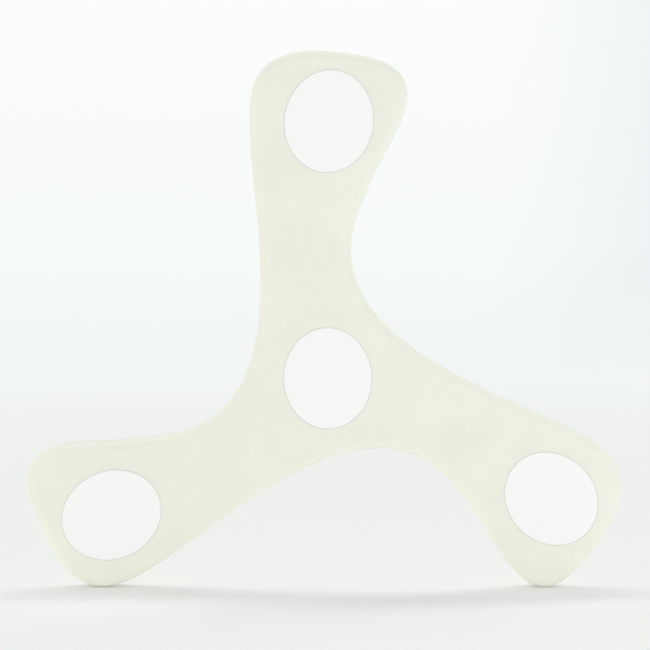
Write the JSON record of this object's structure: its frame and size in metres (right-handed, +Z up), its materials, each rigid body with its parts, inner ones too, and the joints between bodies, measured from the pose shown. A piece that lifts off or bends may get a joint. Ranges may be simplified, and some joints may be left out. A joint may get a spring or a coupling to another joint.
{
  "type": "boomerang",
  "caption": "Three-blade throwing boomerang in soft moulded foam, with plain oval labels at the hub and near each blade tip.",
  "frame": {"origin": "on the ground under the middle of the bounding box, with the boomerang standing on the tips of its two lower blades", "axes": "+Z up along the upper blade, +X to the right seen from the labelled front, +Y from the front face to the back face"},
  "size_m": [0.277, 0.0102, 0.2476],
  "materials": {
    "foam": "moulded closed-cell foam skin, ivory, matt to satin",
    "label_vinyl": "bare white self-adhesive vinyl, satin gloss"
  },
  "bodies": {
    "root": {"foam_body": "foam", "hub_label": "label_vinyl", "top_blade_label": "label_vinyl", "left_blade_label": "label_vinyl", "right_blade_label": "label_vinyl"}
  },
  "joints": []
}
